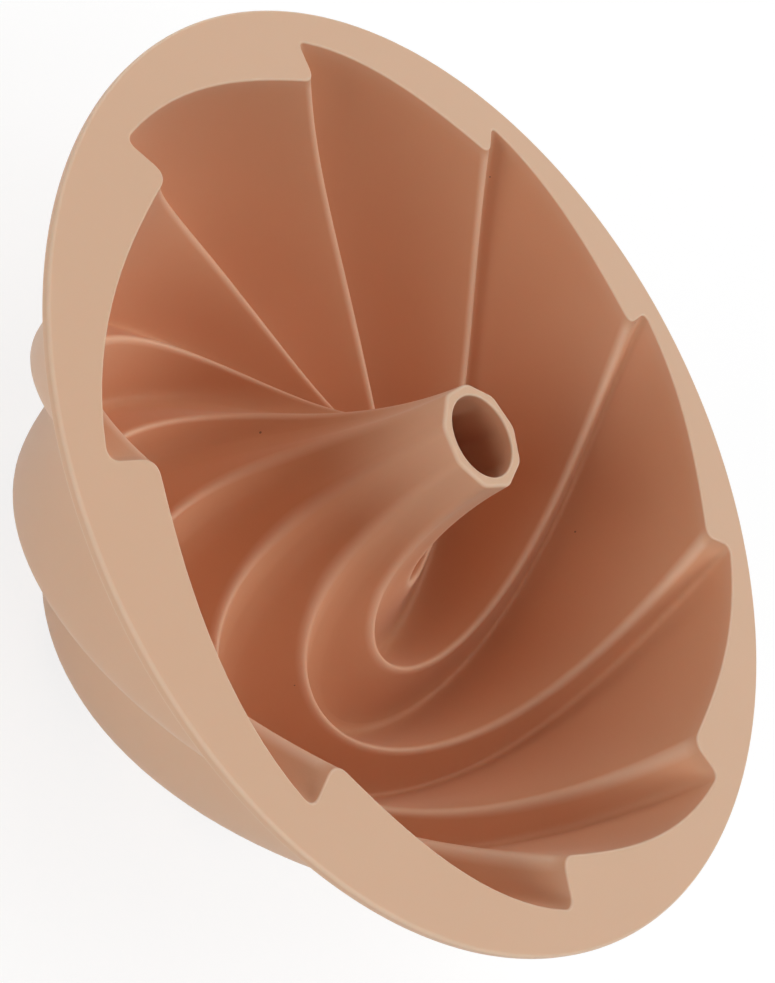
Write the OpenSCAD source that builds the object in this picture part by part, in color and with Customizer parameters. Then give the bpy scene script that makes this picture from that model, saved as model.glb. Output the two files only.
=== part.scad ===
// Swirl tube cake pan moulded in one piece of silicone, in millimetres.
// It stands on the undersides of its flutes, opening up, with the Z axis through its tube.

/* [Rim] */
// Outer diameter of the rim
rim_d = 240; // [225:1:270]
// Thickness of the flat rim
rim_t = 2.6; // [2:0.1:4]
// Width of the rim outside the widest part of the flutes
rim_w = 9; // [7:0.5:14]
// Rounding of the rim's outer edges
rim_round = 0.8; // [0.3:0.1:0.9]
// Rounding of the cavity's edge at the top of the rim
mouth_round = 0.6; // [0.3:0.1:1]

/* [Flutes] */
// Number of flutes
flutes = 9; // [7:1:11]
// Radial step from the notch of a flute to its tip, at the rim
tooth = 11.5; // [8:0.5:15]
// Turn of a ridge from the rim to the tip of the tube, in degrees
twist = 132; // [90:1:150]
// Depth of the flutes below the rim
flute_depth = 90.5; // [84:0.5:100]
// Radius at which the flutes are deepest
flute_low_r = 61.5; // [56:0.5:66]
// Slope of the flutes' outer wall at the rim, in degrees from upright
flute_draft = 17.5; // [14:0.5:21]
// Depth of the ridges' lowest turn below the rim
ridge_depth = 70.5; // [62:0.5:74]
// Radius at which the ridges are lowest
ridge_low_r = 58.5; // [54:0.5:62]
// Slope of the ridges at the rim, in degrees from upright
ridge_draft = 17; // [13:1:21]
// Rounding of the ridges, measured back along each side
ridge_round = 2; // [1:0.1:3]
// Rounding of the creases, measured back along each side
crease_round = 3; // [1:0.1:4]

/* [Tube] */
// Width of the tube's tip across its corners
tube_d = 28.4; // [27:0.2:34]
// Diameter of the hole through the tube's tip
tube_hole_d = 21.6; // [18:0.2:22]
// Height of the tube's tip above the rim
tube_rise = 2.5; // [0:0.5:6]
// Rounding of the tube's tip
tube_round = 1; // [0.4:0.1:1.2]
// Length of the plain round hole below the tube's tip
hole_land = 3; // [1:0.5:5]

/* [Wall] */
// Thickness of the moulded wall
wall = 2.6; // [2:0.1:3]
// Depth cut off the lowest part of each flute to make a flat foot
foot_cut = 1.2; // [1:0.1:1.4]
// Rounding where the wall meets the underside of the rim
under_round = 1.5; // [0.5:0.1:2.5]

/* [Hidden] */
silicone = [0.80, 0.62, 0.50];
rim_r = rim_d / 2;
notch_r = rim_r - rim_w;
tip_r = notch_r - tooth;
corner_r = tube_d / 2;
hole_r = tube_hole_d / 2;
pitch = 360 / flutes;
flat_r = corner_r * cos(pitch / 2);
// Outside, a crease is rounded by the wall more than inside, and a ridge by the wall less
crest_round = crease_round + wall;
valley_round = max(ridge_round - wall, 0.4);
// How far each path pulls straight on from the rim, into its lowest turn and down the tube
pull_down = 0.54;
flute_pull_low = 0.39;
ridge_pull_low = 0.46;
flute_pull_tube = 0.44;
ridge_pull_tube = 0.58;
// Slope of the tube at its tip, in degrees from upright, between the ridges and along them
flute_lean = 0;
ridge_lean = 4.5;
// Rate of the swirl at the rim and at the tube's tip, as shares of its mean rate
rim_rate = 0.88;
tip_rate = 0.64;
// Share of the way down at which the two sides of a flute have become equal
even_at = 0.65;
// Fullness of a flute's broad face near its crease and near its ridge
full_crease = 0.21;
full_ridge = 0.92;
// Stretch of the way over which the sides of a flute turn to scoops, and the fullness of a scoop
scoop_from = 0.25;
scoop_to = 0.6;
scoop_crease = 0;
scoop_ridge = 0.5;
// Share of the way from which the scoops flatten to the sides of the tube's tip
flat_from = 0.75;
// Share of a side's length that a rounding may take
side_share = 0.35;
// Places of the points across a broad face, as shares of its width
face_shares = [0.22, 0.42, 0.62, 0.81];
// Share by which those points keep clear of a ridge on the outer skin, where the valley is narrower
valley_clear = 0.02 * flutes;
// Points along one flute of a ring: four at the ridge and the steep side, three at the crease
points_in_flute = 7 + len(face_shares);
// Points by which a round ring runs ahead of a fluted one, so that the strip between them is clear
round_lead = 4;
// Rings of the inner and the outer skin
inner_rings = 26;
outer_rings = 21;
// Share of the way at which the outer skin starts below the rim
under_start = 0.02;
// Share of an edge's rounding at which its middle ring stands
soft = 0.3;
// Small step used to find the slope of the skin
tiny = 0.001;

function unit(v) = v / norm(v);
function mix(a, b, t) = a + (b - a) * t;
function ease(t) = let (c = min(max(t, 0), 1)) c * c * (3 - 2 * c);
function bezier(a, b, c, d, t) =
    a * pow(1 - t, 3) + b * 3 * t * pow(1 - t, 2) + c * 3 * t * t * (1 - t) + d * pow(t, 3);
function place(rz, a) = [rz[0] * cos(a), rz[0] * sin(a), rz[1]];
function turned(p, a) = [p[0] * cos(a) - p[1] * sin(a), p[0] * sin(a) + p[1] * cos(a), p[2]];
function at_height(points, z) = [for (p = points) [p[0], p[1], z]];

// A path runs from the rim down the wall, through its lowest turn and up the tube.
// It gives [radius, height] at the share u of the way, with the top of the rim at height 0.
function path(u, top_r, draft, depth, low_r, pull_low, end_r, lean, pull_tube) =
    let (reach = (top_r - low_r) * pull_low,
        start_z = -mouth_round,
        end_z = tube_rise - tube_round,
        down = pull_down * depth,
        up = pull_tube * (depth + tube_rise))
    u < 0.5
    ? bezier([top_r, start_z], [top_r - down * tan(draft), -down],
        [low_r + reach, -depth], [low_r, -depth], 2 * u)
    : bezier([low_r, -depth], [low_r - reach, -depth],
        [end_r + up * tan(lean), end_z - up], [end_r, end_z], 2 * u - 1);
function ridge_path(u) = path(u, tip_r, ridge_draft, ridge_depth, ridge_low_r, ridge_pull_low,
    corner_r, ridge_lean, ridge_pull_tube);
function flute_path(u) = path(u, notch_r, flute_draft, flute_depth, flute_low_r, flute_pull_low,
    flat_r, flute_lean, flute_pull_tube);

// The swirl turns clockwise on the way down, seen from above
function swirl(u) = -twist * (rim_rate * (u * u * u - 2 * u * u + u)
    + (3 - 2 * u) * u * u + tip_rate * (u * u * u - u * u));
// A crease trails its ridge by nothing at the rim and by half a pitch on the tube
function trail(u) = pitch / 2 * ease(u / even_at);
// The sides are arcs about the axis at the rim and flat at the tube's tip
function flatness(u) = ease((u - flat_from) / (1 - flat_from));
// Rise of a side above its crease, as a share, at the share s of its width
function rise(u, s, near_crease, near_ridge) = let (k = ease((u - scoop_from) / (scoop_to - scoop_from)))
    bezier(0, mix(near_crease, scoop_crease, k), mix(near_ridge, scoop_ridge, k), 1, s);

function ridge_point(u) = place(ridge_path(u), swirl(u));
function crease_point(u) = place(flute_path(u), swirl(u) - trail(u));
// The steep side runs from a ridge to its crease, and the broad face from there to the next ridge
function steep_point(u, s) = mix(
    place(mix(flute_path(u), ridge_path(u), rise(u, 1 - s, 1 / 3, 2 / 3)), swirl(u) - trail(u) * s),
    mix(ridge_point(u), crease_point(u), s), flatness(u));
function face_point(u, s) = mix(
    place(mix(flute_path(u), ridge_path(u), rise(u, s, full_crease, full_ridge)),
        swirl(u) - mix(trail(u), pitch, s)),
    mix(crease_point(u), turned(ridge_point(u), -pitch), s), flatness(u));

// Directions square to each side, away from the cavity
function steep_normal(u, s) = unit(cross(
    steep_point(u, s + tiny) - steep_point(u, s - tiny),
    steep_point(u + tiny, s) - steep_point(u - tiny, s)));
function face_normal(u, s) = unit(cross(
    face_point(u, s + tiny) - face_point(u, s - tiny),
    face_point(u + tiny, s) - face_point(u - tiny, s)));
// Shift that carries the corner between two sides to the same corner of the skin outside it
function mitre(n, m, away) = away * (n + m) / (1 + n * m);

// Three points that round a corner, set back along its sides by no more than a share of each
function rounded(before, corner, after, back) =
    let (p = corner + unit(before - corner) * min(back, side_share * norm(before - corner)),
        q = corner + unit(after - corner) * min(back, side_share * norm(after - corner)))
    [p, (p + 2 * corner + q) / 4, q];

// A ring of flutes at the share u of the way, at a distance away from the cavity's surface
function flute_points(u, away, ridge_back, crease_back) =
    let (ridge = ridge_point(u) + mitre(turned(face_normal(u, 1), pitch), steep_normal(u, 0), away),
        crease = crease_point(u) + mitre(steep_normal(u, 1), face_normal(u, 0), away),
        steep = steep_point(u, 0.5) + away * steep_normal(u, 0.5),
        reach = 1 - valley_clear * away / wall,
        face = [for (s = face_shares * reach) face_point(u, s) + away * face_normal(u, s)],
        top = rounded(turned(face[len(face) - 1], pitch), ridge, steep, ridge_back),
        low = rounded(steep, crease, face[0], crease_back))
    concat([top[1], top[2], steep], low, face, [turned(top[0], -pitch)]);
function ring(u, away, ridge_back, crease_back) =
    let (points = flute_points(u, away, ridge_back, crease_back))
    [for (k = [0 : flutes - 1], p = points) turned(p, -pitch * k)];
function inner_ring(u, away = 0) = ring(u, away, ridge_round, crease_round);
function outer_ring(u, away = wall) = ring(u, away, valley_round, crest_round);

// Round rings have as many points as the fluted ones
function round_ring(r, z) = let (count = flutes * points_in_flute)
    [for (i = [0 : count - 1]) place([r, z], (round_lead - i) * 360 / count)];
// The tube's tip drawn in towards the axis, and round rings whose points stand inside its points
function drawn_in(points, inset, z) =
    [for (p = points) let (r = norm([p[0], p[1]])) [p[0] * (1 - inset / r), p[1] * (1 - inset / r), z]];
function hole_ring(points, r, z) = [for (p = points) place([r, z], atan2(p[1], p[0]))];

// A closed skin over rings of equal length, each joined to the next and the last to the first
module loft(rings) {
    count = len(rings[0]);
    total = len(rings);
    faces = [for (j = [0 : total - 1], i = [0 : count - 1])
        let (a = j * count + i,
            b = j * count + (i + 1) % count,
            c = ((j + 1) % total) * count + (i + 1) % count,
            d = ((j + 1) % total) * count + i)
        each [[a, b, c], [a, c, d]]];
    polyhedron([for (points = rings, p = points) p], faces, convexity = 10);
}

module tube_pan() {
    inner = [for (i = [0 : inner_rings]) inner_ring(i / inner_rings)];
    tip = inner[inner_rings];
    mouth = [at_height(inner_ring(0, mouth_round), 0),
        at_height(inner_ring(0, mouth_round * soft), -mouth_round * soft)];
    tip_edge = [drawn_in(tip, tube_round * soft, tube_rise - tube_round * soft),
        drawn_in(tip, tube_round, tube_rise)];
    hole = [hole_ring(tip, hole_r + tube_round * soft, tube_rise),
        hole_ring(tip, hole_r, tube_rise - tube_round * soft),
        hole_ring(tip, hole_r, tube_rise - hole_land)];
    outer = [for (i = [outer_rings - 1 : -1 : 1]) outer_ring(i / outer_rings)];
    // The ground cuts a flat foot off the lowest part of every flute
    ground = min([for (points = outer, p = points) p[2]]) + foot_cut;
    feet = [for (points = outer) [for (p = points) [p[0], p[1], max(p[2], ground)]]];
    under = [outer_ring(under_start), at_height(outer_ring(0, wall + under_round), -rim_t)];
    rim = [round_ring(rim_r - rim_round, -rim_t), round_ring(rim_r, rim_round - rim_t),
        round_ring(rim_r, -rim_round), round_ring(rim_r - rim_round, 0)];
    color(silicone) translate([0, 0, -ground]) loft(concat(mouth, inner, tip_edge, hole, feet, under, rim));
}

tube_pan();
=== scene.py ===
# Swirl tube cake pan in matte silicone: its fine skin, material, light and camera.
import math

import bpy
import numpy as np
from mathutils import Matrix, Vector


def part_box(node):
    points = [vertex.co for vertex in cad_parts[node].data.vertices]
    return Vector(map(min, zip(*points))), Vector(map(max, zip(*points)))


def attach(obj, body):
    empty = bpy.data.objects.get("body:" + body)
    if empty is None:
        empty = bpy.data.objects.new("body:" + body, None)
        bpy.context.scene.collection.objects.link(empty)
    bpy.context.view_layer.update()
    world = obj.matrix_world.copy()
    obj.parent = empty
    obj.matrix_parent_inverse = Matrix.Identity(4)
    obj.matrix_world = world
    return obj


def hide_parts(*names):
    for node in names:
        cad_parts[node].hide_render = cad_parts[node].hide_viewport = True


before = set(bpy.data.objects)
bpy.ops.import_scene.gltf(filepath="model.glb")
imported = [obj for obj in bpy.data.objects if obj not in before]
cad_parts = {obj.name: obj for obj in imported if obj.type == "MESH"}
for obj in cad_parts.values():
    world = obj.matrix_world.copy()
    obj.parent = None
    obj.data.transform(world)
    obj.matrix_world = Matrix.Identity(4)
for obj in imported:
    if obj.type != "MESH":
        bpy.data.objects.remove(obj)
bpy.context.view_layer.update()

MM = 0.001

# Sizes of the pan in millimetres, as the solid has them, apart from its roundings of ridges, valleys and hole
RIM_T = 2.6
RIM_W = 9.0
RIM_ROUND = 0.8
MOUTH_ROUND = 0.6
FLUTES = 9
TOOTH = 11.5
TWIST = 132.0
FLUTE_DEPTH = 90.5
FLUTE_LOW_R = 61.5
FLUTE_DRAFT = 17.5
RIDGE_DEPTH = 70.5
RIDGE_LOW_R = 58.5
RIDGE_DRAFT = 17.0
RIDGE_ROUND = 3.9
CREASE_ROUND = 3.0
TUBE_D = 28.4
TUBE_HOLE_D = 21.6
TUBE_RISE = 2.5
TUBE_ROUND = 1.0
HOLE_ROUND = 0.5
HOLE_LAND = 3.0
WALL = 2.6
UNDER_ROUND = 1.5
VALLEY_ROUND = 0.9

# The rim's radius and its height above the feet come from the solid's own box
PAN_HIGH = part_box("tube_pan")[1]
RIM_R = PAN_HIGH.x / MM
RIM_Z = PAN_HIGH.z / MM - TUBE_RISE
NOTCH_R = RIM_R - RIM_W
TIP_R = NOTCH_R - TOOTH
CORNER_R = TUBE_D / 2
HOLE_R = TUBE_HOLE_D / 2
PITCH = 360 / FLUTES
FLAT_R = CORNER_R * math.cos(math.radians(PITCH / 2))
CREST_ROUND = CREASE_ROUND + WALL

# Pulls of the two paths, leans of the tube, rates of the swirl and rises of the two sides
PULL_DOWN = 0.54
FLUTE_PULL_LOW, RIDGE_PULL_LOW = 0.39, 0.46
FLUTE_PULL_TUBE, RIDGE_PULL_TUBE = 0.44, 0.58
FLUTE_LEAN, RIDGE_LEAN = 0.0, 4.5
RIM_RATE, TIP_RATE = 0.88, 0.64
EVEN_AT = 0.65
STEEP_CREASE, STEEP_RIDGE = 1 / 3, 2 / 3
FULL_CREASE, FULL_RIDGE = 0.21, 0.92
SCOOP_FROM, SCOOP_TO = 0.25, 0.6
SCOOP_CREASE, SCOOP_RIDGE = 0.0, 0.5
FLAT_FROM = 0.75
# The most of a side that a rounding takes at one of its ends, and that the skin outside it loses at a ridge
SIDE_SHARE = 0.35
MOST_CUT = 0.45

# Painted highlight, partly wear, makes the silicone paler: on the ridges, up to a share of the way, and on
# the edges of mouth, rim and tip
HIGHLIGHT_AND_WEAR_UP_TO = 0.78
RIDGE_HIGHLIGHT_AND_WEAR = 0.5
EDGE_HIGHLIGHT_AND_WEAR = 0.9
# The cavity's painted shade, a deeper colour, is whole at one share of the way and fades from another
CAVITY_SHADE_FROM, CAVITY_SHADE_UP_TO = 0.015, 0.8
MOUTH_SHADE = 0.6
# Under the pan, the same painted shade starts at one share of the way and is whole at another, up the hollow
# tube
HOLLOW_SHADE_FROM, HOLLOW_SHADE_TO = 0.6, 0.8

# Sampling of the fine skin: rings along the way, and points along one flute of a ring
INNER_RINGS = 96
OUTER_RINGS = 76
EDGE_RINGS = 5
RIDGE_POINTS = 9
STEEP_POINTS = 6
CREASE_POINTS = 7
FACE_POINTS = 16
SIDE_SAMPLES = 24
# The outside runs between two shares of the way: from below the rim to the top of the hollow tube
OUTER_START, OUTER_END = 0.018, 0.952
# A ring this far from a rounding, in millimetres, keeps the flat beside it flat
SUPPORT = 0.35
# Slopes are taken over a tiny share of the way or of a side
TINY = 0.001


def unit(v):
    return v / np.linalg.norm(v)


def mix(a, b, t):
    return a + (b - a) * t


def ease(t):
    c = min(max(t, 0.0), 1.0)
    return c * c * (3 - 2 * c)


def bezier(a, b, c, d, t):
    a, b, c, d = (np.asarray(k, float) for k in (a, b, c, d))
    return a * (1 - t) ** 3 + b * 3 * t * (1 - t) ** 2 + c * 3 * t * t * (1 - t) + d * t ** 3


def place(rz, degrees):
    a = math.radians(degrees)
    return np.array([rz[0] * math.cos(a), rz[0] * math.sin(a), rz[1]])


def turned(points, degrees):
    a = math.radians(degrees)
    turn = np.array([[math.cos(a), -math.sin(a), 0], [math.sin(a), math.cos(a), 0], [0, 0, 1]])
    return np.asarray(points) @ turn.T


def path(u, top_r, draft, depth, low_r, pull_low, end_r, lean, pull_tube):
    """Radius and height at the share u of the way from the rim to the tube's tip."""
    reach = (top_r - low_r) * pull_low
    start_z, end_z = -MOUTH_ROUND, TUBE_RISE - TUBE_ROUND
    down = PULL_DOWN * depth
    up = pull_tube * (depth + TUBE_RISE)
    if u < 0.5:
        return bezier((top_r, start_z), (top_r - down * math.tan(math.radians(draft)), -down),
                      (low_r + reach, -depth), (low_r, -depth), 2 * u)
    return bezier((low_r, -depth), (low_r - reach, -depth),
                  (end_r + up * math.tan(math.radians(lean)), end_z - up), (end_r, end_z), 2 * u - 1)


def ridge_path(u):
    return path(u, TIP_R, RIDGE_DRAFT, RIDGE_DEPTH, RIDGE_LOW_R, RIDGE_PULL_LOW,
                CORNER_R, RIDGE_LEAN, RIDGE_PULL_TUBE)


def flute_path(u):
    return path(u, NOTCH_R, FLUTE_DRAFT, FLUTE_DEPTH, FLUTE_LOW_R, FLUTE_PULL_LOW,
                FLAT_R, FLUTE_LEAN, FLUTE_PULL_TUBE)


def swirl(u):
    """Degrees that the ridges have turned by the share u of the way, at set rates at the rim and the tip."""
    return -TWIST * (RIM_RATE * (u ** 3 - 2 * u * u + u) + (3 - 2 * u) * u * u + TIP_RATE * (u ** 3 - u * u))


def trail(u):
    """Degrees from a ridge to the foot of its steep side: none at the rim, and half a flute on the tube."""
    return PITCH / 2 * ease(u / EVEN_AT)


def ridge_point(u):
    return place(ridge_path(u), swirl(u))


def crease_point(u):
    return place(flute_path(u), swirl(u) - trail(u))


def rise(u, s, near_crease, near_ridge):
    """Rise of a side above its crease, as a share, at the share s of its width.

    Down the way it turns to a scoop."""
    scoop = ease((u - SCOOP_FROM) / (SCOOP_TO - SCOOP_FROM))
    return bezier(0, mix(near_crease, SCOOP_CREASE, scoop), mix(near_ridge, SCOOP_RIDGE, scoop), 1, s)


def flatness(u):
    """How far the sides have turned from curved ones to the straight sides of the tip's polygon."""
    return ease((u - FLAT_FROM) / (1 - FLAT_FROM))


def steep_point(u, s):
    """A point on the steep side, from its ridge at 0 to its crease at 1."""
    arc = place(mix(flute_path(u), ridge_path(u), rise(u, 1 - s, STEEP_CREASE, STEEP_RIDGE)),
                swirl(u) - trail(u) * s)
    return mix(arc, mix(ridge_point(u), crease_point(u), s), flatness(u))


def face_point(u, s):
    """A point on the broad face, from its crease at 0 to the next ridge at 1."""
    arc = place(mix(flute_path(u), ridge_path(u), rise(u, s, FULL_CREASE, FULL_RIDGE)),
                swirl(u) - mix(trail(u), PITCH, s))
    return mix(arc, mix(crease_point(u), turned(ridge_point(u), -PITCH), s), flatness(u))


def normal(side, u, s):
    """The direction square to a side at a point, away from the cavity."""
    return unit(np.cross(side(u, s + TINY) - side(u, s - TINY), side(u + TINY, s) - side(u - TINY, s)))


def mitre(n, m, away):
    """The move of a corner when its two sides, with the normals n and m, move away by a distance."""
    return away * (n + m) / (1 + n @ m)


def cut_share(side, u, s, n, m, away):
    """The share of a side, next to a ridge, that the skin outside it loses where its two sides meet."""
    speed = np.linalg.norm(side(u, s + TINY) - side(u, s - TINY)) / (2 * TINY)
    return min(away * math.sqrt((1 - n @ m) / (1 + n @ m)) / speed, MOST_CUT)


def between(points, back_start, back_end, count):
    """Even points along a side, without the stretches that the roundings at its two ends take."""
    steps = np.linalg.norm(np.diff(points, axis=0), axis=1)
    along = np.concatenate([[0], np.cumsum(steps)])
    full = along[-1]
    wanted = np.linspace(min(back_start, SIDE_SHARE * full), full - min(back_end, SIDE_SHARE * full), count)
    return np.stack([np.interp(wanted, along, points[:, k]) for k in range(3)], axis=1)


def rounding(start, corner, end, count):
    """Inner points of the curve that rounds a corner between two sides."""
    t = np.linspace(0, 1, count + 2)[1:-1, None]
    return start * (1 - t) ** 2 + corner * 2 * t * (1 - t) + end * t * t


def ring(u, away=0.0, ridge_back=RIDGE_ROUND, crease_back=CREASE_ROUND):
    """A ring of flutes at the share u of the way, at a distance outside the cavity's surface."""
    last_face = turned(normal(face_point, u, 1), PITCH)
    first_steep = normal(steep_point, u, 0)
    last_steep = normal(steep_point, u, 1)
    first_face = normal(face_point, u, 0)
    ridge = ridge_point(u) + mitre(last_face, first_steep, away)
    crease = crease_point(u) + mitre(last_steep, first_face, away)
    steep_from = cut_share(steep_point, u, 0, last_face, first_steep, away)
    face_to = 1 - cut_share(face_point, u, 1, last_face, first_steep, away)
    steep = [steep_point(u, s) + away * normal(steep_point, u, s)
             for s in np.linspace(steep_from, 1, SIDE_SAMPLES)[1:-1]]
    face = [face_point(u, s) + away * normal(face_point, u, s)
            for s in np.linspace(0, face_to, SIDE_SAMPLES)[1:-1]]
    steep = between(np.array([ridge, *steep, crease]), ridge_back, crease_back, STEEP_POINTS)
    face = between(np.array([crease, *face, turned(ridge, -PITCH)]), crease_back, ridge_back, FACE_POINTS)
    flute = np.concatenate([
        steep,
        rounding(steep[-1], crease, face[0], CREASE_POINTS),
        face,
        rounding(face[-1], turned(ridge, -PITCH), turned(steep[0], -PITCH), RIDGE_POINTS),
    ])
    return np.concatenate([turned(flute, -PITCH * k) for k in range(FLUTES)])


def outer_ring(u, away=WALL):
    """A ring on the outside, where the cavity's ridges are valleys and its creases are crests."""
    return ring(u, away, VALLEY_ROUND, CREST_ROUND)


def at_height(points, z):
    level = np.array(points)
    level[:, 2] = z
    return level


def drawn_in(points, inset, z):
    """A ring moved towards the axis and to a height."""
    left = 1 - inset / np.hypot(points[:, 0], points[:, 1])
    return np.stack([points[:, 0] * left, points[:, 1] * left, np.full(len(left), z)], axis=1)


def hole_ring(points, r, z):
    """A round ring whose points stand at the azimuths of other points."""
    a = np.arctan2(points[:, 1], points[:, 0])
    return np.stack([r * np.cos(a), r * np.sin(a), np.full(len(a), z)], axis=1)


def rim_ring(r, z):
    """An even round ring with as many points as a fluted one, each crease's point at its crease's azimuth."""
    count = FLUTES * (STEEP_POINTS + CREASE_POINTS + FACE_POINTS + RIDGE_POINTS)
    lead = STEEP_POINTS + CREASE_POINTS // 2
    a = (lead - np.arange(count)) * 2 * math.pi / count
    return np.stack([r * np.cos(a), r * np.sin(a), np.full(count, z)], axis=1)


def quarter():
    """Sine and one minus cosine of the angles along a quarter round, ends included."""
    return [(math.sin(a), 1 - math.cos(a)) for a in np.linspace(0, math.pi / 2, EDGE_RINGS)]


def ridge_highlight_wear_shares(u):
    """How far each point of a cavity ring is made paler with a painted highlight, partly wear: on the ridges,
    less so up the tube.
    """
    ridge = RIDGE_HIGHLIGHT_AND_WEAR * np.sin(np.linspace(0, math.pi, RIDGE_POINTS + 2)[1:-1])
    flute = np.concatenate([np.zeros(STEEP_POINTS + CREASE_POINTS + FACE_POINTS), ridge])
    return np.tile(flute, FLUTES) * (1 - ease((u - HIGHLIGHT_AND_WEAR_UP_TO) / (1 - HIGHLIGHT_AND_WEAR_UP_TO)))


def cavity_shade_share(u):
    """How far a cavity ring has the cavity's painted shade, a deeper colour, which the rim and the tube's tip
    lack.
    """
    return mix(MOUTH_SHADE, 1, ease(u / CAVITY_SHADE_FROM)) * (1 - ease((u - CAVITY_SHADE_UP_TO) / (1 - CAVITY_SHADE_UP_TO)))


def edge_highlight_wear_shares():
    """How far each ring of a quarter round is made paler with a painted highlight, partly wear: most in its
    middle.
    """
    return [EDGE_HIGHLIGHT_AND_WEAR * math.sin(a) for a in np.linspace(0, math.pi, EDGE_RINGS)]


def shared(rings, highlight_and_wear=None, painted_shade=None):
    """Rings, each with its points' two shares. A share that isn't given is nothing."""
    none = [np.zeros(len(points)) for points in rings]
    return list(zip(rings, highlight_and_wear or none, painted_shade or none))


def evenly(rings, shares):
    """The same share for all points of a ring, ring by ring."""
    return [np.full(len(points), share) for points, share in zip(rings, shares)]


def cavity_rings():
    """From the mouth's edge down the wall, through the trough and up the tube to its tip."""
    brink = at_height(ring(0, MOUTH_ROUND + SUPPORT), 0)
    mouth = [at_height(ring(0, MOUTH_ROUND * (1 - s)), -MOUTH_ROUND * c) for s, c in quarter()]
    ways = np.linspace(0, 1, INNER_RINGS + 1)[1:]
    inner = [ring(u) for u in ways]
    # Painted shade: a deeper colour down the cavity, and part of it round the mouth's edge
    mouth_shade_shares = evenly(mouth, [MOUTH_SHADE * c for s, c in quarter()])
    inner_shade_shares = evenly(inner, [cavity_shade_share(u) for u in ways])
    return [
        *shared([brink]),
        # The mouth's edge and the ridges are paler with a painted highlight, partly wear
        *shared(mouth, evenly(mouth, edge_highlight_wear_shares()), mouth_shade_shares),
        *shared(inner, [ridge_highlight_wear_shares(u) for u in ways], inner_shade_shares),
    ]


def tip_rings(tip):
    """Over the tube's edge, across its lip and down its round hole."""
    edge = [drawn_in(tip, TUBE_ROUND * c, TUBE_RISE - TUBE_ROUND * (1 - s)) for s, c in quarter()[1:]]
    lip = [drawn_in(tip, TUBE_ROUND + SUPPORT, TUBE_RISE),
           hole_ring(tip, HOLE_R + HOLE_ROUND + SUPPORT, TUBE_RISE)]
    hole_edge = [hole_ring(tip, HOLE_R + HOLE_ROUND * (1 - s), TUBE_RISE - HOLE_ROUND * c)
                 for s, c in quarter()]
    hole = [hole_ring(tip, HOLE_R, TUBE_RISE - HOLE_ROUND - SUPPORT),
            hole_ring(tip, HOLE_R, TUBE_RISE - HOLE_LAND + SUPPORT),
            hole_ring(tip, HOLE_R, TUBE_RISE - HOLE_LAND)]
    return [
        # The tube's edge and the hole's edge are paler with a painted highlight, partly wear
        *shared(edge, evenly(edge, edge_highlight_wear_shares()[1:])),
        *shared(lip),
        *shared(hole_edge, evenly(hole_edge, edge_highlight_wear_shares())),
        # The hole's wall has the painted shade throughout
        *shared(hole, painted_shade=evenly(hole, [1.0] * len(hole))),
    ]


def outside_rings():
    """Down inside the tube, under the trough and up the wall outside to the rim's underside."""
    ways = np.linspace(OUTER_END, OUTER_START, OUTER_RINGS)
    outer = [outer_ring(u) for u in ways]
    outer = [np.concatenate([p[:, :2], np.maximum(p[:, 2:], -RIM_Z)], axis=1) for p in outer]
    # Painted shade up inside the hollow tube, from a share of the way
    hollow = evenly(outer, [ease((u - HOLLOW_SHADE_FROM) / (HOLLOW_SHADE_TO - HOLLOW_SHADE_FROM)) for u in ways])
    fillet = [at_height(outer_ring(0, WALL + UNDER_ROUND * (1 - s)), -RIM_T - UNDER_ROUND * c)
              for s, c in reversed(quarter()[:-1])]
    under = at_height(outer_ring(0, WALL + UNDER_ROUND + SUPPORT), -RIM_T)
    return [*shared(outer, painted_shade=hollow), *shared([*fillet, under])]


def flange_rings():
    """Out along the rim's underside, round its edge and onto its top."""
    low_edge = [rim_ring(RIM_R - RIM_ROUND * (1 - s), -RIM_T + RIM_ROUND * c) for s, c in quarter()]
    top_edge = [rim_ring(RIM_R - RIM_ROUND * (1 - s), -RIM_ROUND * c) for s, c in reversed(quarter())]
    return [
        *shared([rim_ring(RIM_R - RIM_ROUND - SUPPORT, -RIM_T)]),
        # The rim's edges are paler with a painted highlight, partly wear
        *shared(low_edge, evenly(low_edge, edge_highlight_wear_shares())),
        *shared(top_edge, evenly(top_edge, edge_highlight_wear_shares())),
        *shared([rim_ring(RIM_R - RIM_ROUND - SUPPORT, 0)]),
    ]


def pan_rings():
    """All rings of the closed skin and, for each point, its shares of the painted highlight, partly wear, and
    of the painted shade.
    """
    cavity = cavity_rings()
    tip = cavity[-1][0]
    rings, highlight_and_wear, painted_shade = zip(*cavity, *tip_rings(tip), *outside_rings(), *flange_rings())
    return rings, {"highlight_and_wear": highlight_and_wear, "painted_shade": painted_shade}


def loft(name, rings, shares):
    """A closed mesh over rings of equal length, each joined to the next and the last to the first."""
    count, total = len(rings[0]), len(rings)
    points = (np.concatenate(rings) + [0, 0, RIM_Z]) * MM
    faces = []
    for j in range(total):
        here, there = j * count, (j + 1) % total * count
        for near in range(count):
            far = (near + 1) % count
            faces.append((here + near, there + near, there + far, here + far))
    mesh = bpy.data.meshes.new(name)
    mesh.from_pydata(points.tolist(), [], faces)
    mesh.validate()
    mesh.shade_smooth()
    for kind, values in shares.items():
        mesh.attributes.new(kind, "FLOAT", "POINT").data.foreach_set("value", np.concatenate(values))
    made = bpy.data.objects.new(name, mesh)
    bpy.context.scene.collection.objects.link(made)
    return made


# Camera where the photograph was taken from, in metres, with its roll and lens
CAMERA_AT = (-0.0183, 0.2744, 0.2882)
LOOK_AT = (0.0140, 0.0016, 0.0688)
CAMERA_ROLL = -62.0
CAMERA_LENS = 50.1
CAMERA_SHIFT_Y = -0.071

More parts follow.
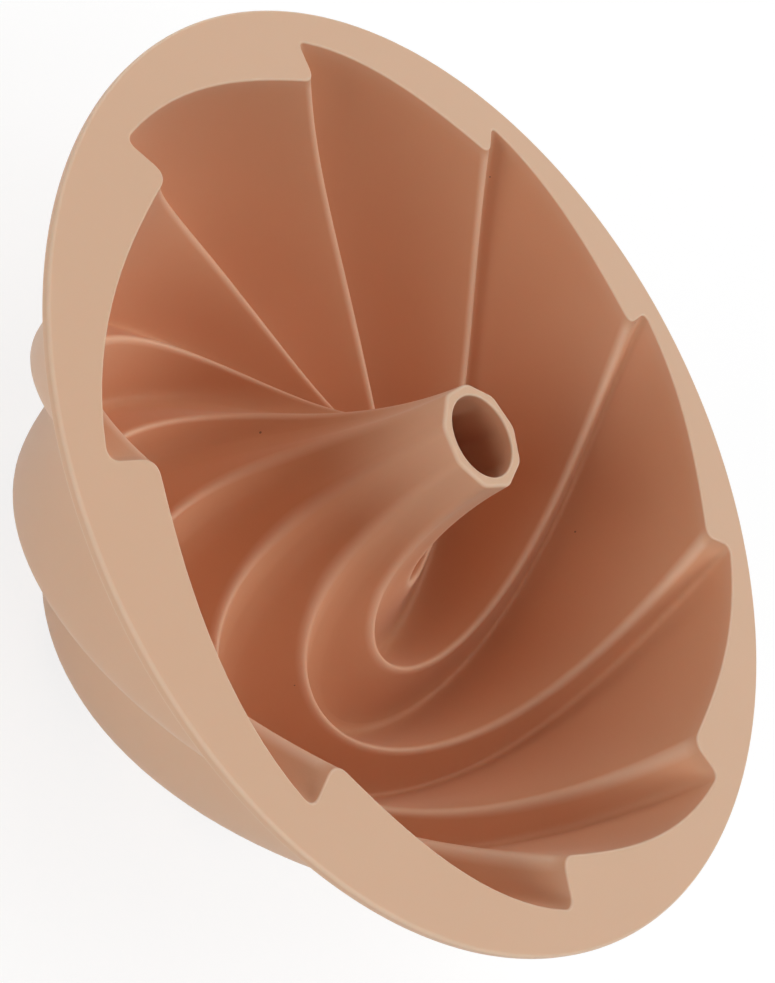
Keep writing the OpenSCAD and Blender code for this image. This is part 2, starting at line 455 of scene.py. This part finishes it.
# Soft lamps: the azimuth and the elevation that each shines from, its strength and its softness, in degrees
LAMPS = {
    "low": (82, 5, 1.42, 35),
    "front": (88, 20, 0.12, 35),
    "left": (180, 47, 0.80, 35),
    "back": (240, 50, 0.70, 35),
    "back_right": (300, 50, 0.55, 35),
    "right": (335, 20, 0.50, 35),
    "top": (0, 85, 0.43, 35),
}

# The floor, in metres, a hair under the feet: its colours where it lights, its shade and glow where it's seen
FLOOR_SIZE = 6.0
FLOOR_Z = -0.00005
FLOOR_CLOUD_SCALE = 3.0
FLOOR_DARK = (0.86, 0.86, 0.86)
FLOOR_PALE = (0.88, 0.88, 0.88)
FLOOR_SHADE = (0.24, 0.24, 0.24)
FLOOR_GLOW = 0.825

# Colours of the silicone, in linear light: its own, the cavity's with painted shade, and the paler one of
# painted highlight, partly wear; and the least share of that paler one where it's patchy
RIM_PALE = (0.790, 0.518, 0.346)
RIM_DARK = (0.770, 0.498, 0.329)
CAVITY_SHADE_PALE = (0.745, 0.390, 0.228)
CAVITY_SHADE_DARK = (0.725, 0.370, 0.212)
HIGHLIGHT_AND_WEAR_COLOUR = (0.90, 0.660, 0.490)
SPECK = (0.30, 0.17, 0.11)
PATCHY = 0.7

# Patterns on the silicone, in cycles a metre: colour clouds, cells that may hold a speck, waves and grain
CLOUD_SCALE = 22.0
CELL_SCALE = 70.0
WAVE_SCALE = 60.0
GRAIN_SCALE = 1800.0
# A speck lies in each cell whose random value is above one number, as wide as a share of the cell
SPECK_ABOVE = 0.5
SPECK_SIZE = 0.024
# Bumps, in metres, and how strongly they show
WAVE_HEIGHT, WAVE_STRENGTH = 0.0006, 0.25
GRAIN_HEIGHT, GRAIN_STRENGTH = 0.00008, 0.2
# Roughness between the grain's lows and highs
SMOOTHEST, ROUGHEST = 0.38, 0.50


def adder(tree):
    """A short way to add a node to a tree, with its inputs linked or set."""
    def add(kind, inputs=None, **settings):
        made = tree.nodes.new(kind)
        for key, value in settings.items():
            setattr(made, key, value)
        for key, value in (inputs or {}).items():
            if isinstance(value, bpy.types.NodeSocket):
                tree.links.new(value, made.inputs[key])
            else:
                made.inputs[key].default_value = value
        return made

    return add


def node_tree(name):
    """A new material with empty nodes, and the short way to add them."""
    material = bpy.data.materials.new(name)
    material.use_nodes = True
    material.node_tree.nodes.clear()
    return material, adder(material.node_tree)


def blend(add, share, start, end):
    """A colour between two others, each an output of a node or a plain colour.

    Inputs 6 and 7 of the mix node and its output 2 are its colours."""
    start, end = ((*c, 1) if isinstance(c, tuple) else c for c in (start, end))
    return add("ShaderNodeMix", {"Factor": share, 6: start, 7: end}, data_type="RGBA").outputs[2]


def silicone():
    """Matte moulded silicone: soft mottling, a fine moulded grain, a few specks of dust and a faint sheen."""
    material, add = node_tree("silicone")
    where = add("ShaderNodeTexCoord").outputs["Object"]
    cloud = add("ShaderNodeTexNoise", {"Vector": where, "Scale": CLOUD_SCALE, "Detail": 3.0}).outputs["Fac"]
    # Painted shade: the cavity's deeper colour, as far as each point's share has it
    painted_shade = add("ShaderNodeAttribute", attribute_name="painted_shade").outputs["Fac"]
    rim = blend(add, cloud, RIM_DARK, RIM_PALE)
    cavity = blend(add, cloud, CAVITY_SHADE_DARK, CAVITY_SHADE_PALE)
    plain = blend(add, painted_shade, rim, cavity)

    # Painted highlight, partly wear: a paler colour on the ridges and edges, in patches
    highlight_and_wear = add("ShaderNodeAttribute", attribute_name="highlight_and_wear").outputs["Fac"]
    patchy = add("ShaderNodeMapRange", {"Value": cloud, "To Min": PATCHY, "To Max": 1.0})
    patches = add("ShaderNodeMath", {0: highlight_and_wear, 1: patchy.outputs[0]}, operation="MULTIPLY")
    colour = blend(add, patches.outputs[0], plain, HIGHLIGHT_AND_WEAR_COLOUR)

    cells = add("ShaderNodeTexVoronoi", {"Vector": where, "Scale": CELL_SCALE})
    chosen = add("ShaderNodeMath", {0: cells.outputs["Color"], 1: SPECK_ABOVE}, operation="GREATER_THAN")
    small = add("ShaderNodeMath", {0: cells.outputs["Distance"], 1: SPECK_SIZE}, operation="LESS_THAN")
    speck = add("ShaderNodeMath", {0: chosen.outputs[0], 1: small.outputs[0]}, operation="MULTIPLY")
    specked = blend(add, speck.outputs[0], colour, SPECK)

    waves = add("ShaderNodeTexNoise", {"Vector": where, "Scale": WAVE_SCALE, "Detail": 1.0})
    grain = add("ShaderNodeTexNoise", {"Vector": where, "Scale": GRAIN_SCALE, "Detail": 2.0}).outputs["Fac"]
    low_bump = add("ShaderNodeBump", {
        "Height": waves.outputs["Fac"], "Strength": WAVE_STRENGTH, "Distance": WAVE_HEIGHT})
    bump = add("ShaderNodeBump", {
        "Height": grain, "Strength": GRAIN_STRENGTH, "Distance": GRAIN_HEIGHT,
        "Normal": low_bump.outputs["Normal"]})
    rough = add("ShaderNodeMapRange", {"Value": grain, "To Min": SMOOTHEST, "To Max": ROUGHEST})
    shader = add("ShaderNodeBsdfPrincipled", {
        "Base Color": specked, "Roughness": rough.outputs[0], "Normal": bump.outputs["Normal"],
        "IOR": 1.42, "Specular IOR Level": 0.25, "Subsurface Weight": 0.3, "Subsurface Scale": 0.003,
        "Subsurface Radius": (1.0, 0.6, 0.45), "Sheen Weight": 0.1, "Sheen Roughness": 0.4})
    add("ShaderNodeOutputMaterial", {"Surface": shader.outputs[0]})
    return material


def camera_axes():
    """The camera's right, up and back directions."""
    back = (Vector(CAMERA_AT) - Vector(LOOK_AT)).normalized()
    level_right = Vector((0, 0, 1)).cross(back).normalized()
    level_up = back.cross(level_right)
    roll = math.radians(CAMERA_ROLL)
    up = level_up * math.cos(roll) + level_right * math.sin(roll)
    return up.cross(back), up, back


def make_camera():
    right, up, back = camera_axes()
    data = bpy.data.cameras.new("camera")
    data.lens = CAMERA_LENS
    data.shift_y = CAMERA_SHIFT_Y
    data.clip_start, data.clip_end = 0.01, 20
    made = bpy.data.objects.new("camera", data)
    made.matrix_world = Matrix.Translation(CAMERA_AT) @ Matrix((right, up, back)).transposed().to_4x4()
    bpy.context.scene.collection.objects.link(made)
    bpy.context.scene.camera = made


def make_lamps():
    for name, (azimuth, elevation, strength, softness) in LAMPS.items():
        data = bpy.data.lights.new(name, "SUN")
        data.energy = strength
        data.angle = math.radians(softness)
        made = bpy.data.objects.new(name, data)
        made.rotation_euler = (math.radians(90 - elevation), 0, math.radians(azimuth + 90))
        bpy.context.scene.collection.objects.link(made)


def looked_at(add):
    """One where a surface is seen, also in or through another, and nothing where it lights others."""
    rays = add("ShaderNodeLightPath").outputs
    seen = add("ShaderNodeMath", {0: rays["Is Camera Ray"], 1: rays["Is Glossy Ray"]}, operation="MAXIMUM")
    seen = add("ShaderNodeMath", {0: seen.outputs[0], 1: rays["Is Transmission Ray"]}, operation="MAXIMUM")
    return seen.outputs[0]


def make_world():
    """White where it is looked at. The lamps alone light the object."""
    world = bpy.data.worlds.new("studio")
    world.use_nodes = True
    world.node_tree.nodes.clear()
    add = adder(world.node_tree)
    sky = add("ShaderNodeBackground", {"Color": (1, 1, 1, 1), "Strength": looked_at(add)})
    add("ShaderNodeOutputWorld", {"Surface": sky.outputs[0]})
    bpy.context.scene.world = world


def make_floor():
    """A plain pale floor. Where it is looked at it is white, apart from the object's soft shadow."""
    half = FLOOR_SIZE / 2
    mesh = bpy.data.meshes.new("floor")
    corners = [(-half, -half, FLOOR_Z), (half, -half, FLOOR_Z), (half, half, FLOOR_Z), (-half, half, FLOOR_Z)]
    mesh.from_pydata(corners, [], [(0, 1, 2, 3)])
    floor = bpy.data.objects.new("floor", mesh)
    bpy.context.scene.collection.objects.link(floor)
    material, add = node_tree("floor")
    where = add("ShaderNodeTexCoord").outputs["Object"]
    cloud = add("ShaderNodeTexNoise", {"Vector": where, "Scale": FLOOR_CLOUD_SCALE, "Detail": 2.0})
    matte = add("ShaderNodeBsdfDiffuse", {"Color": blend(add, cloud.outputs["Fac"], FLOOR_DARK, FLOOR_PALE)})
    faint = add("ShaderNodeBsdfDiffuse", {"Color": (*FLOOR_SHADE, 1)})
    glow = add("ShaderNodeEmission", {"Color": (1, 1, 1, 1), "Strength": FLOOR_GLOW})
    seen = add("ShaderNodeAddShader", {0: faint.outputs[0], 1: glow.outputs[0]})
    both = add("ShaderNodeMixShader", {0: looked_at(add), 1: matte.outputs[0], 2: seen.outputs[0]})
    add("ShaderNodeOutputMaterial", {"Surface": both.outputs[0]})
    mesh.materials.append(material)


bpy.context.scene.view_settings.view_transform = "Standard"
make_camera()
make_lamps()
make_world()
make_floor()
pan = loft("pan_skin", *pan_rings())
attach(pan, "root")
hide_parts("tube_pan")
pan.data.materials.append(silicone())
